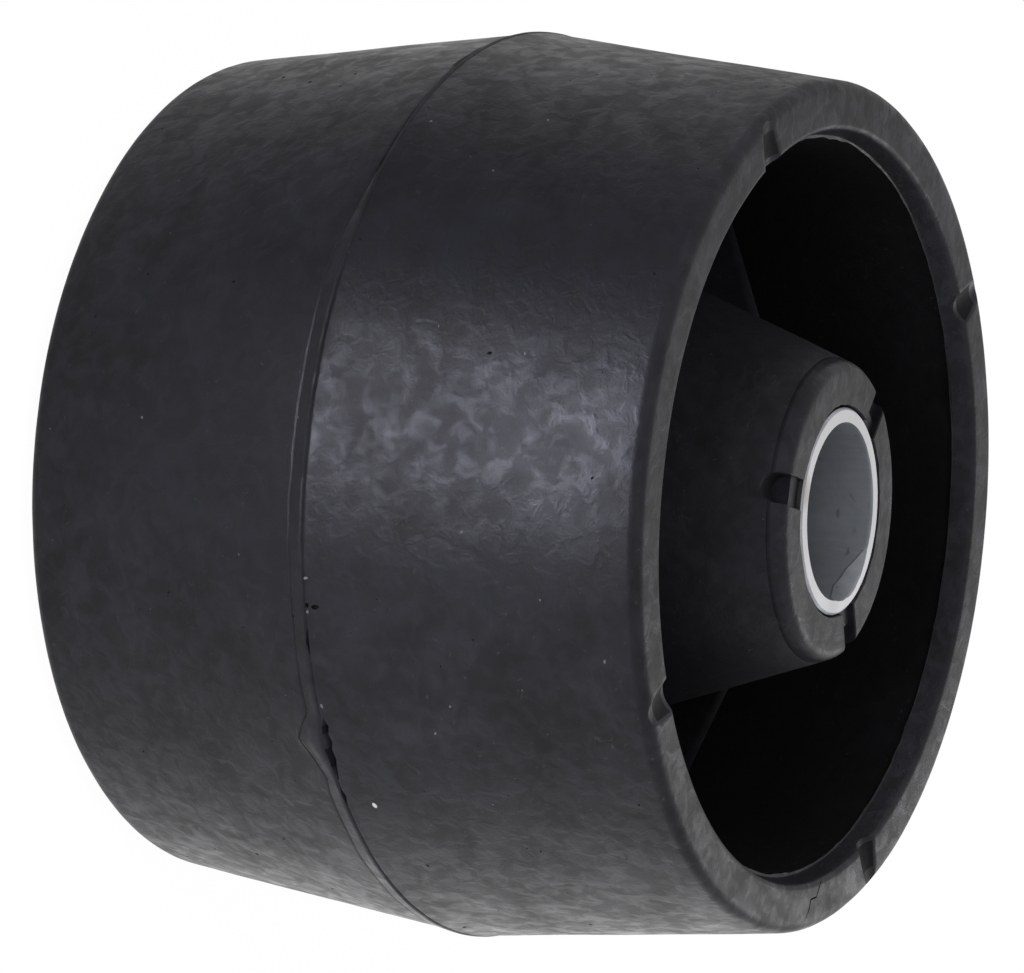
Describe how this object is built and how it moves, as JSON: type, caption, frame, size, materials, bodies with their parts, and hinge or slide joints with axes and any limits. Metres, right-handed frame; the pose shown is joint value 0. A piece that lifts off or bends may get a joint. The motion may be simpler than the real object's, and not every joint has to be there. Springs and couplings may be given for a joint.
{
  "type": "boat trailer roller",
  "caption": "Double-cone black rubber side roller with open cupped ends, a conical hub on ribs and a plain zinc-plated steel tube through it for a spindle.",
  "frame": {"origin": "centre of the lower end of the steel tube, on the surface that the roller stands on", "axes": "+Z along the roller's axis, upwards; the ridge lies in the plane Z = 45 mm; the rib angles are counted from +X"},
  "size_m": [0.1208, 0.1208, 0.09],
  "materials": {
    "black_rubber": "matt moulded rubber with fine scuffs",
    "zinc_plated_steel": "zinc plated, bright cut ends"
  },
  "bodies": {
    "root": {"rubber_roller": "black_rubber", "steel_tube": "zinc_plated_steel"}
  },
  "joints": []
}
